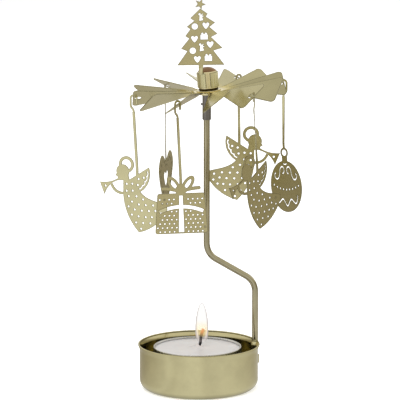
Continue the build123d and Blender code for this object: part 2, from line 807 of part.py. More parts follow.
with BuildPart() as bauble:
    with BuildSketch(figure_plane(bauble_place)):
        with Locations((0, bauble_centre)):
            Circle(bauble_radius)
        with Locations((0, bauble_centre + bauble_radius + bauble_ring_stroke / 2)):
            Rectangle(bauble_cap_width, 2 * bauble_cap_height + bauble_ring_stroke)
        with Locations((0, -bauble_ring_height / 2)):
            Ellipse(bauble_ring_width / 2, bauble_ring_height / 2)
            Ellipse(
                bauble_ring_width / 2 - bauble_ring_stroke,
                bauble_ring_height / 2 - bauble_ring_stroke,
                mode=Mode.SUBTRACT,
            )
        with BuildLine():
            ThreePointArc(*on_bauble(seam))
        trace(line_width=slit, mode=Mode.SUBTRACT)
        for side in (-1, 1):
            with BuildLine():
                Spline(on_bauble([(side * x, y) for x, y in scroll]))
            trace(line_width=scroll_slit, mode=Mode.SUBTRACT)
        dot_line = []
        for number in range(-4, 5):
            rise = bauble_dot_rise * (number / 4) ** 2
            dot_line.append((number * bauble_dot_step, bauble_dot_row + rise))
        with Locations(on_bauble(dot_line)):
            RegularPolygon(bauble_dot / 2, 8, mode=Mode.SUBTRACT)
        with BuildLine():
            Spline(on_bauble(wave))
        trace(line_width=scroll_slit, mode=Mode.SUBTRACT)
        with Locations((0, strip_lap)):
            Rectangle(strip_width, strip_lap + bauble_tab, align=(Align.CENTER, Align.MAX))
    extrude(amount=sheet / 2, both=True)
    add(bauble_strip)
finish(bauble.part, "bauble")

# Heart: a plain heart with a small heart cut out of it and a row of dots along its edge
heart_strip = hanger(heart_place)
heart_face = heart_outline(heart_half_width, heart_lobe, heart_tip)
inner_heart = heart_outline(
    heart_half_width * heart_eye_share, heart_lobe * heart_eye_share, heart_tip * heart_eye_share
)
dot_track = heart_outline(
    heart_half_width - heart_dot_inset, heart_lobe * 0.75, heart_tip - 2 * heart_dot_inset
)
dot_track_wire = dot_track.face().outer_wire()
heart_dots = []
for number in range(heart_dot_count):
    dot_place = dot_track_wire.position_at((number + 0.5) / heart_dot_count)
    heart_dots.append((dot_place.X, dot_place.Y - heart_dot_inset * 0.7))
with BuildPart() as heart:
    with BuildSketch(figure_plane(heart_place)):
        add(heart_face)
        with Locations((0, -heart_eye_drop)):
            add(inner_heart, mode=Mode.SUBTRACT)
        with Locations(heart_dots):
            RegularPolygon(heart_dot / 2, 8, mode=Mode.SUBTRACT)
        with Locations((0, strip_lap)):
            Rectangle(strip_width, strip_lap + heart_tab, align=(Align.CENTER, Align.MAX))
    extrude(amount=sheet / 2, both=True)
    add(heart_strip)
finish(heart.part, "heart")
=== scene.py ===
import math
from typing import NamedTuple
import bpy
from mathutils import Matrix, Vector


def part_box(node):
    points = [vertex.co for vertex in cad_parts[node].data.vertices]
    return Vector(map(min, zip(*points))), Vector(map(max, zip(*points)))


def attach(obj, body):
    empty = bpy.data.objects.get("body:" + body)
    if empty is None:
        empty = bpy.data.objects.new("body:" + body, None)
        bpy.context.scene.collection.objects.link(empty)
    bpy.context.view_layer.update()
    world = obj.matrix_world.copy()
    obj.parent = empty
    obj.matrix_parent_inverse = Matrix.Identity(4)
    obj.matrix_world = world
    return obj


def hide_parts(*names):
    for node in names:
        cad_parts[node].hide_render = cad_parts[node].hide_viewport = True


bl_info = {
    "name": "Tealight Carousel",
    "version": (1, 0, 0),
    "blender": (4, 5, 0),
    "location": "View3D > Sidebar > Carousel",
    "description": "Dresses a tealight carousel in its brass, wax and flame, and sets its studio",
    "category": "Object",
}

import bmesh
import bpy
from mathutils import Matrix, Vector

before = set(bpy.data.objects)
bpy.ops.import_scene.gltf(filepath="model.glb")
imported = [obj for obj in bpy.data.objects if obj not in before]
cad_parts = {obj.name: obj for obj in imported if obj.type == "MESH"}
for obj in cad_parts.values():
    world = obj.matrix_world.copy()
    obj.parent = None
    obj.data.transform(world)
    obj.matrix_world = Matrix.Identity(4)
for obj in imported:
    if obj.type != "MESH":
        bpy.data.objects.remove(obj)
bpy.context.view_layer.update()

MM = 0.001
UP = Vector((0, 0, 1))
ORIGIN = Vector((0, 0, 0))
FULL_TURN = 2 * math.pi
WELD = 1e-6
CREASE = math.radians(35)

# Scale of a metal's grain along each axis: below 1 it is drawn out into lines.
EVEN_GRAIN = (1.0, 1.0, 1.0)
ROLLED_GRAIN = (1.0, 1.0, 0.2)
FOIL_GRAIN = (1.0, 1.0, 0.06)
TURNED_GRAIN = (1.0, 1.0, 0.05)
DRAWN_GRAIN = (1.0, 1.0, 0.03)

# Sizes of a metal's other patterns in millimetres.
TARNISH_CLOUD = 9.0
RUBBED_SPECK = 0.9
BUCKLE_WAVE = 26.0

# Tone of the studio's cloth by bearing: degrees from the camera, positive to its right. The
# first two of each are the ends of its ramp, straight behind the object.
WALL_TONES = (
    (-180, 0.55), (180, 0.55), (-166, 0.3), (-110, 0.31), (-85, 0.6), (-60, 0.88), (-30, 0.9),
    (-8, 0.62), (14, 0.59), (35, 0.76), (70, 0.58), (94, 0.33), (130, 0.3), (166, 0.3),
)
TABLE_TONES = (
    (-180, 0.58), (180, 0.58), (-125, 0.45), (-108, 0.48), (-88, 0.62), (-62, 0.75), (-50, 0.84),
    (-40, 0.77), (-18, 0.88), (0, 0.92), (10, 0.8), (38, 0.82), (62, 0.78), (88, 0.7), (110, 0.57),
)
# Height at which each tone overhead starts and is full, in metres, and the tone. Behind the
# object they start lower, by the slope.
OVERHEAD_TONES = ((0.08, 0.12, 0.88), (0.2, 0.28, 0.74), (0.43, 0.5, 0.58))
OVERHEAD_SLOPE = 0.13
# Name, place and width in metres, and watts.
SOFTBOXES = (
    ("key_softbox", (-0.55, -0.75, 0.75), 0.7, 9.0),
    ("fill_softbox", (0.8, -0.5, 0.55), 0.7, 5.0),
    ("back_softbox", (0.1, 0.8, 0.8), 0.8, 5.0),
)
ORNAMENT_NODES = (
    "tree_topper", "angel_left", "angel_front", "angel_back", "gift", "bauble", "heart",
)


class Finish(NamedTuple):
    """A metal's surface. Lengths are in millimetres, and tarnish is what it leaves of the colour."""

    roughness: float
    grain: float
    grain_direction: tuple
    grain_depth: float
    tarnish: float
    # Width in millimetres of the painted shade along cut edges.
    edge: float = 0.0
    buckle: float = 0.0


FINISHES = {
    # Lines of the drawing die, which pull what the cup mirrors into soft upright streaks.
    "drawn_brass_plate": Finish(0.16, 0.9, DRAWN_GRAIN, 0.03, 0.9),
    # Lines along the wire, which keep what it mirrors narrow and long.
    "drawn_brass_wire": Finish(0.16, 0.35, DRAWN_GRAIN, 0.03, 0.85),
    # Smooth and bright, as turned brass that nothing rubs.
    "bright_brass_plate": Finish(0.14, 0.5, TURNED_GRAIN, 0.03, 0.85),
    # Painted shade, matt and nearly black, in the corner over the cap's brim; a painted dark
    # reflection, brown, on the cap's crown.
    "corner_painted_shade": Finish(0.45, 0.5, EVEN_GRAIN, 0.05, 0.7),
    "crown_painted_reflection": Finish(0.2, 0.5, EVEN_GRAIN, 0.05, 0.7),
    # Rolled sheet: a satin gloss that its buckles break up, and painted shade in dark lines along cut
    # edges.
    "satin_brass_plate": Finish(0.2, 0.6, ROLLED_GRAIN, 0.008, 0.92, edge=0.55, buckle=0.24),
    "satin_brass_wheel": Finish(0.2, 0.6, ROLLED_GRAIN, 0.008, 0.92, edge=0.55, buckle=0.24),
    # Worn grey plate, with a grain deep enough to look matt beside the brass.
    "dull_grey_plate": Finish(0.3, 0.4, TURNED_GRAIN, 0.08, 0.75),
    # Dark and even, as ground steel.
    "hardened_steel": Finish(0.28, 0.3, EVEN_GRAIN, 0.03, 0.8),
    # Bright and a little ribbed, as foil that is drawn into a cup.
    "drawn_aluminium_foil": Finish(0.25, 0.6, FOIL_GRAIN, 0.06, 0.88),
    # Pale, with a soft gloss, as thin tin off a press.
    "stamped_tin": Finish(0.35, 0.5, EVEN_GRAIN, 0.03, 0.85),
}


def node_box(node):
    """Lowest and highest corner of a node's box."""
    low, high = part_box(node)
    return Vector(low), Vector(high)


def node_top(node):
    """Height of a node's highest point."""
    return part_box(node)[1][2]


def number(label, about, value, **kind):
    """A number that a user may change."""
    return bpy.props.FloatProperty(name=label, description=about, default=value, **kind)


def length(label, about, millimetres):
    """A size that a user may change, in the scene's metres."""
    return number(label, about, millimetres * MM, unit="LENGTH", precision=5)


def angle(label, about, degrees):
    """An angle that a user may change."""
    return number(label, about, math.radians(degrees), subtype="ANGLE")


def hex_colour(label, about, value):
    """A colour that a user may change, as an sRGB hex text."""
    return bpy.props.StringProperty(name=label, description=about, default=value)


class CarouselSizes(bpy.types.PropertyGroup):
    """Sizes of the pieces that are modelled here"""

    cup_radius: length("Cup radius", "Outside of the cup's wall", 25.6)
    cup_wall: length("Cup wall", "Thickness of the cup's sheet", 0.45)
    cup_corner: length("Cup corner", "Radius between the wall and the base", 4.5)
    rim_flare: length("Rim flare", "How far the lip leans out", 0.6)
    flare_height: length("Flare height", "Height of the leaning lip", 2.0)
    rim_bead: length("Rim bead", "Radius of the rolled edge", 0.35)
    socket_floor: length("Socket floor", "Height at which the rod's foot stands", 5.0)
    strap_low: length("Strap low", "Lower edge of the strap outside the rod", 9.2)
    strap_high: length("Strap high", "Upper edge of the strap outside the rod", 13.3)
    rod_radius: length("Rod radius", "Radius of the bent rod", 1.35)
    rod_foot: length("Rod foot", "Cup's axis to the rod's lower run", 25.65)
    rod_offset: length("Rod offset", "Cup's axis to the rod's upper run", 3.55)
    rod_bend_low: length("Lower bend", "Height of the lower corner", 45.6)
    rod_bend_high: length("Upper bend", "Height of the upper corner", 59.1)
    rod_bend_radius: length("Bend radius", "Radius of both bends", 8.5)
    sleeve_bevel: length("Sleeve bevel", "Turned edge of the sleeve", 0.4)
    rotor_tilt: angle("Rotor tilt", "Lean of the wheel's axis", 5.0)
    tilt_bearing: angle("Tilt bearing", "Direction in which the axis leans", 162.0)
    sheet: length("Sheet", "Thickness of the cap's and the wheel's sheet", 0.35)
    cap_radius: length("Cap radius", "Outside of the pivot cap", 4.15)
    cap_brim: length("Cap brim", "Outside of the cap's brim", 5.3)
    cap_shoulder: length("Cap shoulder", "Needle's tip down to the foot of the dome", 1.3)
    cap_drop: length("Cap drop", "Needle's tip down to the wheel", 9.6)
    # Height of the band of painted shade over the cap's brim.
    cap_corner: length("Cap corner", "Dark tarnish over the cap's brim", 0.9)
    cap_tail: length("Cap tail", "Skirt of the cap below the wheel", 1.2)
    # Reach of the smoother middle of the wheel and of the highlight painted there.
    hub_polish_and_highlight: length("Hub polish", "Reach of the wheel's polished middle", 15.0)
    pivot_gap: length("Pivot gap", "Air over the needle's tip", 0.25)
    washer_radius: length("Washer radius", "Outside of the hub's washer", 5.9)
    washer_thickness: length("Washer thickness", "Thickness of the hub's washer", 0.5)
    needle_taper: length("Needle taper", "Length of the ground point", 5.0)
    shell_wall: length("Shell wall", "Thickness of the tealight's shell", 0.25)
    wick_radius: length("Wick radius", "Radius of the wick", 0.65)
    wick_lean: length("Wick lean", "How far the burnt end leans in all", 2.6)
    wick_drift: length("Wick drift", "Where the wick leaves the wax, beside its middle", 1.3)
    wick_stand: length("Wick stand", "Wick above the mound of wax", 6.2)
    mound_radius: length("Mound radius", "Foot of the wax round the wick", 5.0)
    flame_width: length("Flame width", "Widest part of the flame", 5.7)
    flame_height: length("Flame height", "Flame from its root to its tip", 18.2)
    flame_shift: length("Flame shift", "Flame, to the side that the wick leans to", 1.9)
    heart_radius: length("Heart radius", "Half the width of the glow round the wick", 2.5)
    heart_rise: length("Heart rise", "Half the height of the glow round the wick", 3.4)


class CarouselColours(bpy.types.PropertyGroup):
    """Colours of the finishes"""

    sheet_brass: hex_colour("Stamped brass", "Satin brass plate of the sheet", "#D4CDA1")
    cup_brass: hex_colour("Cup brass", "Brass plate of the drawn cup", "#D0C89C")
    rod_brass: hex_colour("Rod brass", "Brass plate of the rod", "#B5AD8E")
    # Painted highlight: brighter, yellower brass round the wheel's hub.
    hub_highlight_brass: hex_colour("Hub brass", "Polished brass round the wheel's hub", "#F2E3A2")
    cap_brass: hex_colour("Cap brass", "Bright brass of the pivot cap", "#EFE5B8")
    # Painted shade: dark colour of the corner over the cap's brim.
    cap_corner_shade: hex_colour("Cap tarnish", "Dark corner over the cap's brim", "#3B3016")
    # Painted dark reflection: brown colour of the cap's crown.
    cap_crown_reflection: hex_colour("Cap crown", "Crown of the cap, browned by heat", "#A98462")
    sleeve_grey: hex_colour("Sleeve grey", "Dull plate of the needle's sleeve", "#8A8681")
    needle_steel: hex_colour("Needle steel", "Hardened steel", "#5C5955")
    shell_foil: hex_colour("Shell foil", "Aluminium of the tealight's shell", "#D9D9D6")
    wick_tin: hex_colour("Wick tin", "Stamped tin of the wick's base", "#CFCFCB")
    wax: hex_colour("Wax", "White candle wax", "#C8C5C3")
    wax_bloom: hex_colour("Wax bloom", "Duller clouds in the wax", "#C0BDBB")
    wick_char: hex_colour("Wick char", "Charred cotton", "#14100D")
    wick_ember: hex_colour("Wick ember", "Glowing end of the wick", "#A85A24")
    flame_body: hex_colour("Flame body", "Bright body of the flame", "#FFFFFD")
    flame_warm: hex_colour("Flame warmth", "Cream of the flame beside the wick", "#FFEFCB")
    flame_root: hex_colour("Flame root", "Pale root of the flame", "#DFD3D0")
    flame_rim: hex_colour("Flame rim", "Faint edge of the flame", "#C2B8B4")
    flame_heart: hex_colour("Flame heart", "Warm glow round the wick", "#FFD98C")
    flame_light: hex_colour("Flame light", "Light that the flame sheds", "#FFB38A")
    floor: hex_colour("Floor", "Pale studio floor", "#F2F2F0")


class CarouselStudio(bpy.types.PropertyGroup):
    """Camera and light"""

    azimuth: angle("Azimuth", "Camera's turn round the object", -18.0)
    elevation: angle("Elevation", "Camera's height above the level", 10.6)
    distance: length("Distance", "Camera to the aimed point", 1500.0)
    lens: number("Lens", "Focal length in millimetres", 314.5, unit="CAMERA")
    aim_right: length("Aim right", "Aimed point, to the right of the cup's axis", 0.5)
    aim_height: length("Aim height", "Aimed point above the floor", 82.8)
    light_height: length("Light height", "Point that the softboxes face", 85.0)
    tent_radius: length("Tent radius", "Object to the wall of the cloth tent", 300.0)
    tent_wall: length("Tent wall", "Height of the tent's wall", 400.0)
    tent_top: length("Tent top", "Height of the tent's top", 550.0)
    cloth_level: length("Cloth level", "Table cloth above the floor", 0.1)
    flame_power: number("Flame power", "Watts that the flame sheds", 0.00006, precision=6, unit="POWER")
    fill: number("Fill", "Strength of the light from all round", 0.45)
    floor_lift: number("Floor lift", "White added to the floor that is seen", 0.45)


def linear(hex_text):
    """An sRGB hex text as linear colour with full alpha."""
    channels = [int(hex_text[i : i + 2], 16) / 255 for i in (1, 3, 5)]
    curved = [c / 12.92 if c <= 0.04045 else ((c + 0.055) / 1.055) ** 2.4 for c in channels]
    return (*curved, 1.0)


def darker(colour, share):
    """A linear colour with this share of its light."""
    return (*(channel * share for channel in colour[:3]), 1.0)


def add_node(tree, kind, links=None, **settings):
    """A node with its settings; links gives an input an output to follow or a value."""
    node = tree.nodes.new(kind)
    for name, value in settings.items():
        setattr(node, name, value)
    for name, value in (links or {}).items():
        if isinstance(value, bpy.types.NodeSocket):
            tree.links.new(value, node.inputs[name])
        else:
            node.inputs[name].default_value = value
    return node


def new_material(name):
    """An empty node material and its tree."""
    material = bpy.data.materials.new(name)
    material.use_nodes = True
    material.node_tree.nodes.clear()
    return material, material.node_tree


def finish_shader(tree, shader):
    """Join a shader to the material's output."""
    add_node(tree, "ShaderNodeOutputMaterial", {"Surface": shader})


def background_rays(tree):
    """Mask of the rays that show the white studio: from the camera, off metal, through glass."""
    path = add_node(tree, "ShaderNodeLightPath").outputs
    mask = path["Is Camera Ray"]
    for kind in ("Is Glossy Ray", "Is Transmission Ray"):
        mask = add_node(
            tree, "ShaderNodeMath", {0: mask, 1: path[kind]}, operation="MAXIMUM"
        ).outputs[0]
    return mask


def per_metre(millimetres):
    """Texture scale whose features measure about this many millimetres."""
    return 1.0 / (millimetres * MM)


def plated_metal(name, colour, polish_and_highlight=None):
    """Metal with a faint grain, soft clouds of tarnish and small scuffed places. The grain is
    drawn coarser than the real one, so that it shows. Plate has painted shade in dark lines
    along cut edges, and thin sheet is buckled. The polished place given is smoother, with a
    painted highlight: its centre, its reach and its highlight colour."""
    finish = FINISHES[name]
    material, tree = new_material(name)
    place = add_node(tree, "ShaderNodeTexCoord").outputs["Object"]
    stretched = add_node(
        tree, "ShaderNodeMapping", {"Vector": place, "Scale": finish.grain_direction}
    ).outputs["Vector"]
    lines = add_node(
        tree,
        "ShaderNodeTexNoise",
        {"Vector": stretched, "Scale": per_metre(finish.grain), "Detail": 3.0, "Roughness": 0.6},
    ).outputs["Fac"]
    clouds = add_node(
        tree,
        "ShaderNodeTexNoise",
        {"Vector": place, "Scale": per_metre(TARNISH_CLOUD), "Detail": 4.0, "Roughness": 0.55},
    ).outputs["Fac"]
    specks = add_node(
        tree, "ShaderNodeTexNoise", {"Vector": place, "Scale": per_metre(RUBBED_SPECK), "Detail": 2.0}
    ).outputs["Fac"]
    base = linear(colour)
    dull = darker(base, finish.tarnish)
    tone = add_node(
        tree, "ShaderNodeMapRange", {"Value": clouds, "From Min": 0.35, "From Max": 0.65}
    ).outputs["Result"]
    colour_mix = add_node(
        tree, "ShaderNodeMix", {0: tone, 6: dull, 7: base}, data_type="RGBA"
    ).outputs[2]
    # A polished place: smoother, and with a painted highlight in a brighter colour.
    if polish_and_highlight:
        centre, reach, bright = polish_and_highlight
        away = add_node(
            tree, "ShaderNodeVectorMath", {0: place, 1: centre}, operation="DISTANCE"
        ).outputs["Value"]
        polish_and_highlight_share = add_node(
            tree,
            "ShaderNodeMapRange",
            {"Value": away, "From Min": 0.6 * reach, "From Max": reach,
             "To Min": 1.0, "To Max": 0.0},
        ).outputs["Result"]
        # Painted highlight: the brighter colour within the polished place.
        colour_mix = add_node(
            tree, "ShaderNodeMix", {0: polish_and_highlight_share, 6: colour_mix, 7: linear(bright)}, data_type="RGBA"
        ).outputs[2]
    # Painted shade: darker along cut edges, where the bevelled normal turns from the flat one.
    if finish.edge:
        bevelled = add_node(tree, "ShaderNodeBevel", {"Radius": finish.edge * MM}, samples=6)
        flat = add_node(tree, "ShaderNodeNewGeometry").outputs["Normal"]
        turn = add_node(
            tree,
            "ShaderNodeVectorMath",
            {0: bevelled.outputs["Normal"], 1: flat},
            operation="DOT_PRODUCT",
        ).outputs["Value"]
        edge_shade = add_node(
            tree,
            "ShaderNodeMapRange",
            {"Value": turn, "From Min": 0.88, "From Max": 0.995, "To Min": 1.0, "To Max": 0.0},
        ).outputs["Result"]
        colour_mix = add_node(
            tree, "ShaderNodeMix", {0: edge_shade, 6: colour_mix, 7: darker(base, 0.28)}, data_type="RGBA"
        ).outputs[2]
    rough = add_node(
        tree,
        "ShaderNodeMapRange",
        {"Value": specks, "From Min": 0.3, "From Max": 0.7,
         "To Min": 0.82 * finish.roughness, "To Max": 1.2 * finish.roughness},
    ).outputs["Result"]
    if polish_and_highlight:
        rough = add_node(
            tree,
            "ShaderNodeMath",
            {0: polish_and_highlight_share, 1: -0.55 * finish.roughness, 2: rough},
            operation="MULTIPLY_ADD",
        ).outputs[0]
    relief = add_node(
        tree, "ShaderNodeBump", {"Height": lines, "Strength": 0.35, "Distance": finish.grain_depth * MM}
    )
    if finish.buckle:
        waves = add_node(
            tree,
            "ShaderNodeTexNoise",
            {"Vector": place, "Scale": per_metre(BUCKLE_WAVE), "Detail": 0.0},
        ).outputs["Fac"]
        sway = add_node(
            tree, "ShaderNodeBump", {"Height": waves, "Strength": 1.0, "Distance": finish.buckle * MM}
        ).outputs["Normal"]
        tree.links.new(sway, relief.inputs["Normal"])
    shader = add_node(
        tree,
        "ShaderNodeBsdfPrincipled",
        {
            "Base Color": colour_mix,
            "Metallic": 1.0,
            "Roughness": rough,
            "Normal": relief.outputs["Normal"],
        },
    )
    finish_shader(tree, shader.outputs["BSDF"])
    return material


def candle_wax(colours):
    """Paraffin wax: white, lit from within, with faint duller clouds on a soft skin."""
    material, tree = new_material("paraffin_wax")
    place = add_node(tree, "ShaderNodeTexCoord").outputs["Object"]
    bloom = add_node(
        tree, "ShaderNodeTexNoise", {"Vector": place, "Scale": per_metre(4.0), "Detail": 4.0}
    ).outputs["Fac"]
    tint = add_node(
        tree,
        "ShaderNodeMix",
        {0: bloom, 6: linear(colours.wax), 7: linear(colours.wax_bloom)},
        data_type="RGBA",
    ).outputs[2]
    rough = add_node(
        tree, "ShaderNodeMapRange", {"Value": bloom, "To Min": 0.32, "To Max": 0.5}
    ).outputs["Result"]
    bump = add_node(
        tree, "ShaderNodeBump", {"Height": bloom, "Strength": 0.3, "Distance": 0.15 * MM}
    ).outputs["Normal"]
    shader = add_node(
        tree,
        "ShaderNodeBsdfPrincipled",
        {
            "Base Color": tint,
            "Roughness": rough,
            "IOR": 1.44,
            "Subsurface Weight": 0.35,
            "Subsurface Radius": (2.2 * MM, 1.8 * MM, 1.5 * MM),
            "Subsurface Scale": 1.0,
            "Normal": bump,
        },
    )
    finish_shader(tree, shader.outputs["BSDF"])
    return material


def charred_wick(colours, low, high):
    """Burnt cotton: black fibres that glow towards the tip, drawn coarse so that they show."""
    material, tree = new_material("charred_cotton")
    place = add_node(tree, "ShaderNodeTexCoord").outputs["Object"]
    fibres = add_node(
        tree,
        "ShaderNodeTexWave",
        {"Vector": place, "Scale": per_metre(2.2), "Distortion": 3.0, "Detail": 2.0},
        bands_direction="DIAGONAL",
    ).outputs["Fac"]
    height = add_node(tree, "ShaderNodeSeparateXYZ", {"Vector": place}).outputs["Z"]
    glow = add_node(
        tree,
        "ShaderNodeMapRange",
        {"Value": height, "From Min": low, "From Max": high},
        interpolation_type="SMOOTHSTEP",
    ).outputs["Result"]
    ember = linear(colours.wick_ember)
    colour = add_node(
        tree, "ShaderNodeMix", {0: glow, 6: linear(colours.wick_char), 7: ember}, data_type="RGBA"
    ).outputs[2]
    light = add_node(tree, "ShaderNodeMath", {0: glow, 1: 0.55}, operation="MULTIPLY").outputs[0]
    bump = add_node(
        tree, "ShaderNodeBump", {"Height": fibres, "Strength": 0.6, "Distance": 0.15 * MM}
    ).outputs["Normal"]
    shader = add_node(
        tree,
        "ShaderNodeBsdfPrincipled",
        {
            "Base Color": colour,
            "Roughness": 0.9,
            "Emission Color": ember,
            "Emission Strength": light,
            "Normal": bump,
        },
    )
    finish_shader(tree, shader.outputs["BSDF"])
    return material


def finish_gas(tree, colour, thickness):
    """Join a glow that is as see-through as it is thin to the material's output."""
    clear = add_node(tree, "ShaderNodeBsdfTransparent").outputs["BSDF"]
    glow = add_node(tree, "ShaderNodeEmission", {"Color": colour, "Strength": 1.0}).outputs["Emission"]
    mix = add_node(tree, "ShaderNodeMixShader", {0: thickness, 1: clear, 2: glow})
    finish_shader(tree, mix.outputs["Shader"])


def flame_gas(colours, low, high):
    """Burning vapour: white where it is thick, hollow and pale at its root, with a thin rim."""
    material, tree = new_material("flame_vapour")
    place = add_node(tree, "ShaderNodeTexCoord").outputs["Object"]
    height = add_node(tree, "ShaderNodeSeparateXYZ", {"Vector": place}).outputs["Z"]
    rise = add_node(
        tree, "ShaderNodeMapRange", {"Value": height, "From Min": low, "From Max": high}
    ).outputs["Result"]
    ramp = add_node(tree, "ShaderNodeValToRGB", {"Fac": rise})
    stops = ramp.color_ramp.elements
    stops[0].color = linear(colours.flame_root)
    stops[0].position = 0.12
    stops[1].color = linear(colours.flame_body)
    stops[1].position = 0.6
    stops.new(0.34).color = linear(colours.flame_warm)
    facing = add_node(tree, "ShaderNodeLayerWeight", {"Blend": 0.5}).outputs["Facing"]
    edge = add_node(
        tree,
        "ShaderNodeMapRange",
        {"Value": facing, "From Min": 0.3, "From Max": 0.62},
        interpolation_type="SMOOTHSTEP",
    ).outputs["Result"]
    colour = add_node(
        tree,
        "ShaderNodeMix",
        {0: edge, 6: ramp.outputs["Color"], 7: linear(colours.flame_rim)},
        data_type="RGBA",
    ).outputs[2]
    middle = add_node(
        tree,
        "ShaderNodeMapRange",
        {"Value": rise, "From Min": 0.3, "From Max": 0.56, "To Min": 0.06, "To Max": 0.9},
        interpolation_type="SMOOTHSTEP",
    ).outputs["Result"]
    flank = add_node(
        tree,
        "ShaderNodeMapRange",
        {"Value": facing, "From Min": 0.08, "From Max": 0.36},
        interpolation_type="SMOOTHSTEP",
    ).outputs["Result"]
    thickness = add_node(tree, "ShaderNodeMix", {0: flank, 2: middle, 3: 0.85}).outputs[0]
    foot = add_node(
        tree, "ShaderNodeMapRange", {"Value": rise, "From Min": 0.03, "From Max": 0.2}
    ).outputs["Result"]
    thickness = add_node(
        tree, "ShaderNodeMath", {0: thickness, 1: foot}, operation="MULTIPLY"
    ).outputs[0]
    finish_gas(tree, colour, thickness)
    return material


def wick_glow(colour, strength):
    """Soft ball of glowing vapour: thick in its middle, gone at its edge."""
    material, tree = new_material("wick_light")
    facing = add_node(tree, "ShaderNodeLayerWeight", {"Blend": 0.5}).outputs["Facing"]
    body = add_node(
        tree,
        "ShaderNodeMapRange",
        {"Value": facing, "From Min": 0.0, "From Max": 0.75, "To Min": strength, "To Max": 0.0},
        interpolation_type="SMOOTHSTEP",
    ).outputs["Result"]
    finish_gas(tree, linear(colour), body)
    return material


def arc_points(centre, radius, start, end, count):
    """Points on an arc, from one angle to another in degrees."""
    points = []
    for step in range(count + 1):
        turn = math.radians(start + (end - start) * step / count)
        points.append((centre[0] + radius * math.cos(turn), centre[1] + radius * math.sin(turn)))
    return points


def rounded(points, radius, steps=4):
    """An outline with its inner corners rounded by short curves."""
    corners = [Vector(point) for point in points]
    result = [corners[0]]
    for before, corner, after in zip(corners, corners[1:], corners[2:]):
        reach = min(radius, (before - corner).length * 0.45, (after - corner).length * 0.45)
        start = corner + (before - corner).normalized() * reach
        end = corner + (after - corner).normalized() * reach
        for step in range(steps + 1):
            share = step / steps
            result.append(start.lerp(corner, share).lerp(corner.lerp(end, share), share))
    return [tuple(point) for point in (*result, corners[-1])]


def line_points(start, end, count):
    """Evenly spaced points from start to end, without the last."""
    return [
        (start[0] + (end[0] - start[0]) * i / count, start[1] + (end[1] - start[1]) * i / count)
        for i in range(count)
    ]


def lathe(profile, origin, up=UP, steps=96, closed=False):
    """A turned form: points of radius and height, spun round an axis."""
    side = Vector((1, 0, 0))
    side = (side - up * side.dot(up)).normalized()
    form = bmesh.new()
    points = [form.verts.new(origin + side * r + up * h) for r, h in profile]
    edges = [form.edges.new(pair) for pair in zip(points, points[1:])]
    if closed:
        edges.append(form.edges.new((points[-1], points[0])))
    bmesh.ops.spin(
        form, geom=points + edges, cent=origin, axis=up, angle=FULL_TURN, steps=steps, use_merge=True
    )
    bmesh.ops.remove_doubles(form, verts=form.verts[:], dist=WELD)
    bmesh.ops.dissolve_degenerate(form, edges=form.edges[:], dist=WELD / 10)
    bmesh.ops.recalc_face_normals(form, faces=form.faces[:])
    return form


def wire_start(centre, radius, segments):
    """A new form that holds one ring, and the ring's edges."""
    form = bmesh.new()
    bmesh.ops.create_circle(form, segments=segments, radius=radius, matrix=Matrix.Translation(centre))
    return form, form.edges[:]


def wire_run(form, ring, vector):
    """Draw the ring straight on, and return its new edges."""
    made = bmesh.ops.extrude_edge_only(form, edges=ring)["geom"]
    points = [item for item in made if isinstance(item, bmesh.types.BMVert)]
    bmesh.ops.translate(form, verts=points, vec=vector)
    return [item for item in made if isinstance(item, bmesh.types.BMEdge)]


def wire_bend(form, ring, centre, axis, turn, steps):
    """Bend the wire on from the ring round an axis, and return its new edges."""
    geom = ring + list({point for edge in ring for point in edge.verts})
    last = bmesh.ops.spin(form, geom=geom, cent=centre, axis=axis, angle=turn, steps=steps)
    return [item for item in last["geom_last"] if isinstance(item, bmesh.types.BMEdge)]


def wire_close(form):
    """Cap the wire's ends and turn its faces outwards."""
    open_edges = [edge for edge in form.edges if edge.is_boundary]
    bmesh.ops.holes_fill(form, edges=open_edges, sides=0)
    bmesh.ops.remove_doubles(form, verts=form.verts[:], dist=WELD / 10)
    bmesh.ops.recalc_face_normals(form, faces=form.faces[:])


def form_mesh(form, name, material):
    """A form's mesh in one material. The form is freed."""
    mesh = bpy.data.meshes.new(name)
    form.to_mesh(mesh)
    form.free()
    mesh.materials.append(material)
    return mesh


def link_object(data):
    """An object of the data's name, in the scene."""
    made = bpy.data.objects.new(data.name, data)
    bpy.context.scene.collection.objects.link(made)
    return made


def place_piece(form, name, body, material, replaced=()):
    """Make a form an object that rides on a body and stands for its nodes."""
    mesh = form_mesh(form, name, material)
    mesh.shade_smooth()
    mesh.set_sharp_from_angle(angle=CREASE)
    piece = link_object(mesh)
    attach(piece, body)
    if replaced:
        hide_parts(*replaced)
    return piece


def dress(node, material):
    """Give a CAD node a finish."""
    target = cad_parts[node]
    target.data.materials.clear()
    target.data.materials.append(material)


def user_settings(scene):
    """Sizes and colours that the user has set."""
    return scene.carousel_sizes, scene.carousel_colours


def camera_right(scene):
    """Level direction to the camera's right."""
    azimuth = scene.carousel_studio.azimuth
    return Vector((math.cos(azimuth), math.sin(azimuth), 0))


def smooth_step(value):
    """Soft rise from 0 to 1."""
    value = min(max(value, 0.0), 1.0)
    return value * value * (3 - 2 * value)


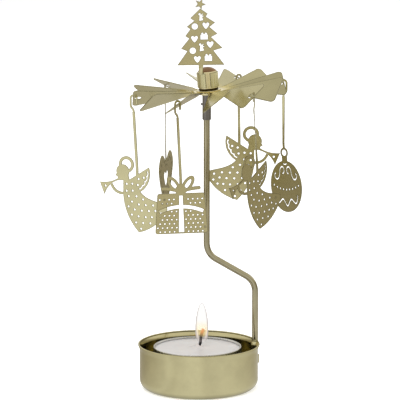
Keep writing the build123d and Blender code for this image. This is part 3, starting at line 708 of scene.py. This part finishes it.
class CAROUSEL_OT_cup(bpy.types.Operator):
    """Drawn cup with a rolled rim and a socket pressed round the rod"""

    bl_idname = "carousel.cup"
    bl_label = "Candle cup"

    def execute(self, context):
        sizes, colours = user_settings(context.scene)
        outer, wall, corner = sizes.cup_radius, sizes.cup_wall, sizes.cup_corner
        top, bead = node_top("candle_cup"), sizes.rim_bead
        lip = outer - wall / 2 + sizes.rim_flare
        fold = top - sizes.flare_height
        last_row = fold - 0.6 * MM
        # Close rows and steps, so that the socket's edges come out clean.
        rows, steps = 44, 432
        base_corner = (outer - corner, corner)
        profile = line_points((0, 0), (outer - corner, 0), 3)
        profile += arc_points(base_corner, corner, -90, 0, 10)
        profile += line_points((outer, corner + 0.1 * MM), (outer, last_row), rows)
        profile += self.flare(outer, fold, lip + wall / 2, top - 2 * bead)
        profile += arc_points((lip, top - bead), bead, -40, 190, 14)
        profile += self.flare(outer - wall, fold, lip - wall / 2, top - 2 * bead)[::-1]
        profile += line_points((outer - wall, last_row), (outer - wall, corner), rows)
        profile += arc_points(base_corner, corner - wall, 0, -90, 10)
        profile += [((outer - corner) / 2, wall), (0, wall)]
        form = lathe(profile, ORIGIN, steps=steps)
        self.press_socket(form, sizes)
        brass = plated_metal("drawn_brass_plate", colours.cup_brass)
        place_piece(form, "cup_shell", "stand", brass, ["candle_cup"])
        return {"FINISHED"}

    def flare(self, wall, fold, edge, top):
        """Points of the lip, which leaves the wall softly at the fold."""
        first, bend = fold - 0.5 * MM, fold - 0.4 * MM
        steps, softness = 8, 1.25
        points = []
        for step in range(steps + 1):
            height = first + (top - first) * step / steps
            share = max(height - bend, 0.0) / (top - bend)
            points.append((wall + (edge - wall) * share**softness, height))
        return points

    def press_socket(self, form, sizes):
        """Press the wall in round the rod, and out again in a strap at half height."""
        mid_wall = sizes.cup_radius - sizes.cup_wall / 2
        play = 0.05 * MM
        wrap = sizes.rod_radius + sizes.cup_wall / 2 + play
        offset = sizes.rod_foot - mid_wall
        flank = 0.9 * MM
        edge = 0.35 * MM
        front = 0.9 * sizes.cup_radius

        def inside(distance):
            return smooth_step(distance / edge + 0.5)

        for vertex in form.verts:
            x, y, z = vertex.co
            if x < front or abs(y) > wrap + flank or z < sizes.socket_floor - edge:
                continue
            reach = math.sqrt(max(wrap * wrap - y * y, 0.0))
            inward = min(offset - reach, 0.0)
            outward = offset + reach
            if abs(y) > wrap:
                outward = offset * (1 - smooth_step((abs(y) - wrap) / flank))
            strap = inside(z - sizes.strap_low) * inside(sizes.strap_high - z)
            socket = inside(z - sizes.socket_floor)
            vertex.co.x += socket * (strap * outward + (1 - strap) * inward)


class CAROUSEL_OT_rod(bpy.types.Operator):
    """Bent rod"""

    bl_idname = "carousel.rod"
    bl_label = "Rod"

    def execute(self, context):
        sizes, colours = user_settings(context.scene)
        slope = math.atan2(
            sizes.rod_foot - sizes.rod_offset, sizes.rod_bend_high - sizes.rod_bend_low
        )
        bend = sizes.rod_bend_radius
        setback = bend * math.tan(slope / 2)
        low_centre = Vector((sizes.rod_foot - bend, 0, sizes.rod_bend_low - setback))
        high_centre = Vector((sizes.rod_offset + bend, 0, sizes.rod_bend_high + setback))
        run = Vector((sizes.rod_offset - sizes.rod_foot, 0, sizes.rod_bend_high - sizes.rod_bend_low))
        top = node_top("rod")
        start = Vector((sizes.rod_foot, 0, sizes.socket_floor))
        segments, bend_steps = 28, 12
        form, ring = wire_start(start, sizes.rod_radius, segments)
        ring = wire_run(form, ring, UP * (low_centre.z - sizes.socket_floor))
        ring = wire_bend(form, ring, low_centre, (0, -1, 0), slope, bend_steps)
        ring = wire_run(form, ring, run.normalized() * (run.length - 2 * setback))
        ring = wire_bend(form, ring, high_centre, (0, 1, 0), slope, bend_steps)
        wire_run(form, ring, UP * (top - high_centre.z))
        wire_close(form)
        brass = plated_metal("drawn_brass_wire", colours.rod_brass)
        place_piece(form, "rod_wire", "stand", brass, ["rod"])
        return {"FINISHED"}


class CAROUSEL_OT_pivot(bpy.types.Operator):
    """Sleeve, needle and cross pin at the rod's top"""

    bl_idname = "carousel.pivot"
    bl_label = "Sleeve and needle"

    def execute(self, context):
        sizes, colours = user_settings(context.scene)
        low, high = node_box("needle_sleeve")
        needle_low, needle_high = node_box("needle")
        radius = (high.x - low.x) / 2
        needle_radius = (needle_high.x - needle_low.x) / 2
        bevel = sizes.sleeve_bevel
        foot_bevel = 0.4 * bevel
        axis = Vector((sizes.rod_offset, 0, low.z))
        tall = high.z - low.z
        seat = needle_low.z - low.z
        play = 0.03 * MM
        bore = sizes.rod_radius + play
        mouth = needle_radius + play
        profile = [(bore, 0), (radius - foot_bevel, 0), (radius, foot_bevel)]
        profile += line_points((radius, bevel), (radius, tall - bevel), 6)
        profile += [(radius, tall - bevel), (radius - bevel, tall), (mouth, tall)]
        profile += [(mouth, seat), (bore, seat)]
        sleeve_metal = plated_metal("dull_grey_plate", colours.sleeve_grey)
        steel = plated_metal("hardened_steel", colours.needle_steel)
        sleeve = lathe(profile, axis, steps=40, closed=True)
        place_piece(sleeve, "sleeve_tube", "stand", sleeve_metal, ["needle_sleeve"])
        point = needle_high.z - needle_low.z
        shank = [(0, 0), (needle_radius, 0), (needle_radius, point - sizes.needle_taper), (0, point)]
        needle = lathe(shank, Vector((sizes.rod_offset, 0, needle_low.z)), steps=24)
        place_piece(needle, "needle_point", "stand", steel, ["needle"])
        dress("sleeve_pin", steel)
        return {"FINISHED"}


class CAROUSEL_OT_tealight(bpy.types.Operator):
    """Tealight: foil shell, wax and wick"""

    bl_idname = "carousel.tealight"
    bl_label = "Tealight"

    def execute(self, context):
        sizes, colours = user_settings(context.scene)
        low, high = node_box("tealight_shell")
        radius = (high.x - low.x) / 2
        tall = high.z - low.z
        foot = Vector(((low.x + high.x) / 2, 0, low.z))
        self.make_shell(sizes, colours, foot, radius, tall)
        wax_level = self.make_wax(sizes, colours, foot, radius, tall)
        self.make_wick(sizes, colours, foot, wax_level, camera_right(context.scene))
        dress("wick_base", plated_metal("stamped_tin", colours.wick_tin))
        return {"FINISHED"}

    def make_shell(self, sizes, colours, foot, radius, tall):
        """Thin cup with a rounded foot and a lip rolled inwards."""
        wall = sizes.shell_wall
        corner = 1.2 * MM
        lip = 0.25 * MM
        profile = [(0, 0)] + arc_points((radius - corner, corner), corner, -90, 0, 6)
        profile += line_points((radius, corner * 1.2), (radius - 0.1 * MM, tall - 3 * lip), 6)
        profile += arc_points((radius - lip, tall - lip), lip, 0, 180, 8)
        profile += [(radius - wall - 2 * lip, tall - 2 * lip), (radius - wall, tall - 4 * lip)]
        profile += arc_points((radius - corner, corner), corner - wall, 0, -90, 6)
        profile += [(0, wall)]
        foil = plated_metal("drawn_aluminium_foil", colours.shell_foil)
        shell = lathe(profile, foot, steps=144)
        place_piece(shell, "shell_foil", "tealight", foil, ["tealight_shell"])

    def make_wax(self, sizes, colours, foot, radius, tall):
        """Wax with a faint hollow inside the lip and a mound round the wick. Its top is given back."""
        low, high = node_box("tealight_wax")
        bottom, mound = low.z - foot.z, high.z - foot.z
        level = tall - 0.9 * MM
        edge = radius - sizes.shell_wall - 0.06 * MM
        swell = sizes.mound_radius
        steps, steepness = 12, 2.2
        profile = [(0, bottom), (edge - 1.2 * MM, bottom), (edge, 1.5 * MM)]
        profile += line_points((edge, 2 * MM), (edge, level), 5)
        profile += [(edge, level), (edge - 0.5 * MM, level - 0.12 * MM)]
        profile += line_points((edge - 1.5 * MM, level - 0.05 * MM), (swell, level), 4)
        for step in range(steps + 1):
            share = step / steps
            profile.append((swell * (1 - share), level + (mound - level) * share**steepness))
        form = lathe(profile, foot, steps=144)
        place_piece(form, "wax_fill", "tealight", candle_wax(colours), ["tealight_wax"])
        return high.z

    def make_wick(self, sizes, colours, foot, level, side):
        """Cord that drifts to one side inside the wax and bends over above it."""
        stand = sizes.wick_stand
        drift = sizes.wick_drift
        lean = sizes.wick_lean - drift
        bend = (lean**2 + stand**2) / (2 * lean)
        turn = 2 * math.atan2(lean, stand)
        wick_low = node_box("wick")[0].z
        start = Vector((foot.x, foot.y, wick_low))
        segments, bend_steps = 14, 14
        form, ring = wire_start(start, sizes.wick_radius, segments)
        buried = 3 * MM
        ring = wire_run(form, ring, UP * (level - wick_low - buried))
        ring = wire_run(form, ring, UP * buried + side * drift)
        centre = Vector((foot.x, foot.y, level)) + side * (drift + bend)
        wire_bend(form, ring, centre, UP.cross(side), turn, bend_steps)
        wire_close(form)
        char = charred_wick(colours, level + 0.5 * stand, level + 0.9 * stand)
        place_piece(form, "wick_cord", "tealight", char, ["wick"])


class CAROUSEL_OT_flame(bpy.types.Operator):
    """Flame over the wick"""

    bl_idname = "carousel.flame"
    bl_label = "Flame"

    def execute(self, context):
        sizes, colours = user_settings(context.scene)
        side = camera_right(context.scene)
        low, high = node_box("tealight_shell")
        middle = (low.x + high.x) / 2
        wax_level = node_top("tealight_wax")
        root = wax_level - 0.2 * MM
        axis = Vector((middle, 0, root)) + side * sizes.flame_shift
        half, tall = sizes.flame_width / 2, sizes.flame_height
        steps, belly, fullness = 24, 0.68, 0.5
        profile = [(0, 0)]
        for step in range(1, steps):
            share = step / steps
            profile.append((half * math.sin(math.pi * share**belly) ** fullness, tall * share))
        profile.append((0, tall))
        form = lathe(profile, axis, steps=48)
        vapour = flame_gas(colours, root, root + tall)
        flame = place_piece(form, "flame_body", "tealight", vapour)
        flame.visible_shadow = False
        heart = Vector((middle, 0, wax_level + sizes.wick_stand - 0.4 * MM))
        heart += side * 0.8 * sizes.wick_lean
        self.make_heart(sizes, colours, heart)
        light_place = Vector((axis.x, axis.y, wax_level + 1.5 * MM))
        self.make_light(context.scene, light_place)
        return {"FINISHED"}

    def make_heart(self, sizes, colours, centre):
        """Warm glow round the wick's tip."""
        radius, rise = sizes.heart_radius, sizes.heart_rise
        shape = Matrix.Translation(centre) @ Matrix.Diagonal((radius, radius, rise, 1))
        form = bmesh.new()
        bmesh.ops.create_uvsphere(form, u_segments=32, v_segments=16, radius=1.0, matrix=shape)
        glow = wick_glow(colours.flame_heart, strength=0.3)
        heart = place_piece(form, "flame_heart", "tealight", glow)
        heart.visible_shadow = False

    def make_light(self, scene, place):
        """The little light that the flame sheds on the wax round the wick."""
        lamp = bpy.data.lights.new("flame_light", "POINT")
        lamp.energy = scene.carousel_studio.flame_power
        lamp.color = linear(scene.carousel_colours.flame_light)[:3]
        lamp.shadow_soft_size = 1.5 * MM
        light = link_object(lamp)
        light.location = place
        light.visible_glossy = False


class CAROUSEL_OT_hub(bpy.types.Operator):
    """Pivot cap and washer on the wheel's hub"""

    bl_idname = "carousel.hub"
    bl_label = "Pivot cap"

    def execute(self, context):
        sizes, colours = user_settings(context.scene)
        bright = plated_metal("bright_brass_plate", colours.cap_brass)
        tilt, bearing = sizes.rotor_tilt, sizes.tilt_bearing
        level = Vector((math.cos(bearing), math.sin(bearing), 0))
        up = level * math.sin(tilt) + UP * math.cos(tilt)
        tip = Vector((sizes.rod_offset, 0, node_top("needle")))
        cap = lathe(self.cap_outline(sizes), tip, up)
        self.mark_finishes(sizes, cap, tip, up)
        thimble = place_piece(cap, "cap_thimble", "rotor", bright, ["pivot_cap"])
        # Painted shade in the corner over the brim, and a painted dark reflection on the crown.
        thimble.data.materials.append(plated_metal("corner_painted_shade", colours.cap_corner_shade))
        thimble.data.materials.append(plated_metal("crown_painted_reflection", colours.cap_crown_reflection))
        top = -sizes.cap_drop - sizes.sheet
        bottom = top - sizes.washer_thickness
        play = 0.03 * MM
        bore = sizes.cap_radius + play
        edge = sizes.washer_radius
        ring = [(bore, top), (edge, top), (edge, bottom), (bore, bottom), (bore, top)]
        washer = lathe(rounded(ring, 0.12 * MM), tip, up)
        place_piece(washer, "washer_ring", "rotor", bright, ["hub_washer"])
        return {"FINISHED"}

    def mark_finishes(self, sizes, cap, tip, up):
        """Give the corner over the brim the cap's second finish, a painted shade, and the crown its
        third, a painted dark reflection.
        """
        corner = sizes.cap_drop - sizes.sheet
        wall = 1.02 * sizes.cap_radius
        for face in cap.faces:
            offset = face.calc_center_median() - tip
            depth = -offset.dot(up)
            radius = (offset + up * depth).length
            if corner - sizes.cap_corner < depth < corner and radius < wall:
                face.material_index = 1
            elif depth < 0.9 * sizes.cap_shoulder:
                face.material_index = 2

    def cap_outline(self, sizes):
        """Section of the thimble: outside from the crown down, then inside back up."""
        outer, sheet = sizes.cap_radius, sizes.sheet
        inner = outer - sheet
        wheel, foot = -sizes.cap_drop, -sizes.cap_drop - sheet - sizes.cap_tail
        outside = self.dome(outer, sizes.pivot_gap + sheet, -sizes.cap_shoulder)
        outside += [(outer, wheel + sheet + sizes.cap_corner), (outer, wheel + sheet)]
        outside += [(sizes.cap_brim, wheel + sheet), (sizes.cap_brim, wheel)]
        outside += [(outer, wheel), (outer, foot), (inner, foot)]
        inside = self.dome(inner, sizes.pivot_gap, -sizes.cap_shoulder)
        return rounded(outside + inside[::-1], 0.3 * MM)

    def dome(self, radius, crown, shoulder):
        """Points of a dome, level at the crown and down to the shoulder."""
        rise = crown - shoulder
        ball = (radius**2 + rise**2) / (2 * rise)
        end = math.degrees(math.asin((ball - rise) / ball))
        return arc_points((0, crown - ball), ball, 90, end, 12)


class CAROUSEL_OT_sheet(bpy.types.Operator):
    """Finish of the stamped sheet: wheel, tree and ornaments"""

    bl_idname = "carousel.sheet"
    bl_label = "Stamped sheet"

    def execute(self, context):
        sizes, colours = user_settings(context.scene)
        satin = plated_metal("satin_brass_plate", colours.sheet_brass)
        for node in ORNAMENT_NODES:
            dress(node, satin)
        # The wheel's middle is smoother and has a painted highlight.
        hub = Vector((sizes.rod_offset, 0, node_top("needle") - sizes.cap_drop))
        polish_and_highlight = (hub, sizes.hub_polish_and_highlight, colours.hub_highlight_brass)
        dress("fan_wheel", plated_metal("satin_brass_wheel", colours.sheet_brass, polish_and_highlight))
        return {"FINISHED"}


class CAROUSEL_OT_stage(bpy.types.Operator):
    """Floor, studio cards, lights, world and camera"""

    bl_idname = "carousel.stage"
    bl_label = "Studio"

    def execute(self, context):
        scene = context.scene
        scene.view_settings.view_transform = "Standard"
        self.make_floor(scene)
        self.make_surround(scene)
        self.make_lights(scene)
        self.make_world(scene)
        self.make_camera(scene)
        return {"FINISHED"}

    def make_floor(self, scene):
        """Matt pale floor, lifted to white where it is seen."""
        material, tree = new_material("pale_floor")
        matt = add_node(
            tree, "ShaderNodeBsdfDiffuse", {"Color": linear(scene.carousel_colours.floor)}
        ).outputs["BSDF"]
        lift = add_node(
            tree, "ShaderNodeEmission", {"Strength": scene.carousel_studio.floor_lift}
        ).outputs["Emission"]
        both = add_node(tree, "ShaderNodeAddShader", {0: matt, 1: lift}).outputs["Shader"]
        mix = add_node(tree, "ShaderNodeMixShader", {0: background_rays(tree), 1: matt, 2: both})
        finish_shader(tree, mix.outputs["Shader"])
        form = bmesh.new()
        bmesh.ops.create_grid(form, x_segments=1, y_segments=1, size=3.0)
        link_object(form_mesh(form, "studio_floor", material))

    def make_surround(self, scene):
        """Tent and table of pale and dark cloth, which only the metal mirrors."""
        studio = scene.carousel_studio
        wall, level = studio.tent_radius, studio.cloth_level
        shade_start = 0.88 * scene.carousel_sizes.cup_radius
        tent = [(wall, level), (wall, studio.tent_wall), (0.0, studio.tent_top)]
        table = [(shade_start, level), (wall, level)]
        self.make_card(scene, "studio_tent", tent, WALL_TONES, shade_start, warmth=0.36)
        self.make_card(scene, "studio_table", table, TABLE_TONES, shade_start, warmth=0.2)

    def make_card(self, scene, name, outline, tones, shade_start, warmth):
        """A cloth whose tone changes round the object and overhead. Its dark tones are warm,
        and it is in shadow at the cup's foot."""
        material, tree = new_material(name + "_cloth")
        place = add_node(tree, "ShaderNodeTexCoord").outputs["Object"]
        turned = add_node(
            tree,
            "ShaderNodeMapping",
            {"Vector": place, "Rotation": (0, 0, -scene.carousel_studio.azimuth)},
        ).outputs["Vector"]
        axes = add_node(tree, "ShaderNodeSeparateXYZ", {"Vector": turned}).outputs
        away = add_node(tree, "ShaderNodeMath", {0: axes["Y"], 1: -1.0}, operation="MULTIPLY")
        bearing = add_node(
            tree, "ShaderNodeMath", {0: axes["X"], 1: away.outputs[0]}, operation="ARCTAN2"
        ).outputs[0]
        share = add_node(
            tree, "ShaderNodeMapRange", {"Value": bearing, "From Min": -math.pi, "From Max": math.pi}
        ).outputs["Result"]
        ramp = add_node(tree, "ShaderNodeValToRGB", {"Fac": share})
        stops = ramp.color_ramp.elements
        darkest, palest = 0.35, 0.9
        for index, (degrees, tone) in enumerate(tones):
            spot = (degrees + 180) / 360
            stop = stops[index] if index < 2 else stops.new(spot)
            stop.position = spot
            pale = smooth_step((tone - darkest) / (palest - darkest))
            tint = warmth * (1 - pale)
            stop.color = (tone, tone * (1 - 0.35 * tint), tone * (1 - tint), 1.0)
        cloth = ramp.outputs["Color"]
        level = add_node(
            tree,
            "ShaderNodeMath",
            {0: axes["Y"], 1: OVERHEAD_SLOPE, 2: axes["Z"]},
            operation="MULTIPLY_ADD",
        ).outputs[0]
        for start, end, tone in OVERHEAD_TONES:
            high = add_node(
                tree,
                "ShaderNodeMapRange",
                {"Value": level, "From Min": start, "From Max": end},
                interpolation_type="SMOOTHSTEP",
            ).outputs["Result"]
            cloth = add_node(
                tree,
                "ShaderNodeMix",
                {0: high, 6: cloth, 7: (tone, tone * 0.97, tone * 0.9, 1.0)},
                data_type="RGBA",
            ).outputs[2]
        reach = add_node(tree, "ShaderNodeVectorMath", {0: place}, operation="LENGTH")
        shade_end = 1.04 * scene.carousel_sizes.cup_radius
        shade = add_node(
            tree,
            "ShaderNodeMapRange",
            {"Value": reach.outputs["Value"], "From Min": shade_start, "From Max": shade_end,
             "To Min": 0.5, "To Max": 1.0},
        ).outputs["Result"]
        light = add_node(tree, "ShaderNodeEmission", {"Color": cloth, "Strength": shade})
        finish_shader(tree, light.outputs["Emission"])
        mesh = form_mesh(lathe(outline, ORIGIN), name, material)
        mesh.shade_smooth()
        card = link_object(mesh)
        for ray in ("camera", "diffuse", "transmission", "volume_scatter", "shadow"):
            setattr(card, "visible_" + ray, False)

    def make_lights(self, scene):
        """Large soft lamps, which the metal doesn't mirror."""
        aim = UP * scene.carousel_studio.light_height
        for name, place, size, power in SOFTBOXES:
            lamp = bpy.data.lights.new(name, "AREA")
            lamp.energy = power
            lamp.size = size
            light = link_object(lamp)
            light.location = place
            light.rotation_euler = (aim - Vector(place)).to_track_quat("-Z", "Y").to_euler()
            light.visible_glossy = False

    def make_world(self, scene):
        """Even fill light, and white where the world itself is seen."""
        world = bpy.data.worlds.new("white_studio")
        world.use_nodes = True
        tree = world.node_tree
        tree.nodes.clear()
        fill, white = (
            add_node(
                tree, "ShaderNodeBackground", {"Color": (1, 1, 1, 1), "Strength": strength}
            ).outputs["Background"]
            for strength in (scene.carousel_studio.fill, 1.0)
        )
        mix = add_node(tree, "ShaderNodeMixShader", {0: background_rays(tree), 1: fill, 2: white})
        add_node(tree, "ShaderNodeOutputWorld", {"Surface": mix.outputs["Shader"]})
        scene.world = world

    def make_camera(self, scene):
        """Long lens at the photograph's viewing angle."""
        studio = scene.carousel_studio
        right = camera_right(scene)
        back = right.cross(UP) * math.cos(studio.elevation) + UP * math.sin(studio.elevation)
        aim = right * studio.aim_right + UP * studio.aim_height
        lens = bpy.data.cameras.new("photo_camera")
        lens.sensor_width = lens.sensor_height = 36.0
        lens.sensor_fit = "HORIZONTAL"
        lens.lens = studio.lens
        lens.clip_end = 20.0
        camera = link_object(lens)
        camera.location = aim + back * studio.distance
        camera.rotation_euler = (-back).to_track_quat("-Z", "Y").to_euler()
        scene.camera = camera


class CAROUSEL_PT_pieces(bpy.types.Panel):
    """Lists the carousel's pieces in the sidebar"""

    bl_idname = "CAROUSEL_PT_pieces"
    bl_label = "Tealight Carousel"
    bl_space_type = "VIEW_3D"
    bl_region_type = "UI"
    bl_category = "Carousel"

    def draw(self, context):
        for operator in OPERATORS:
            self.layout.operator(operator.bl_idname)


OPERATORS = (
    CAROUSEL_OT_cup,
    CAROUSEL_OT_rod,
    CAROUSEL_OT_pivot,
    CAROUSEL_OT_tealight,
    CAROUSEL_OT_flame,
    CAROUSEL_OT_hub,
    CAROUSEL_OT_sheet,
    CAROUSEL_OT_stage,
)
GROUPS = {
    "carousel_sizes": CarouselSizes,
    "carousel_colours": CarouselColours,
    "carousel_studio": CarouselStudio,
}
CLASSES = (*GROUPS.values(), *OPERATORS, CAROUSEL_PT_pieces)


def register():
    """Make the groups, operators and panel known."""
    for kind in CLASSES:
        bpy.utils.register_class(kind)
    for name, kind in GROUPS.items():
        setattr(bpy.types.Scene, name, bpy.props.PointerProperty(type=kind))


def unregister():
    """Undo register."""
    for name in GROUPS:
        delattr(bpy.types.Scene, name)
    for kind in reversed(CLASSES):
        bpy.utils.unregister_class(kind)


def main():
    """Build all pieces and the studio."""
    register()
    bpy.ops.carousel.cup()
    bpy.ops.carousel.rod()
    bpy.ops.carousel.pivot()
    bpy.ops.carousel.tealight()
    bpy.ops.carousel.flame()
    bpy.ops.carousel.hub()
    bpy.ops.carousel.sheet()
    bpy.ops.carousel.stage()


if __name__ == "__main__":
    main()
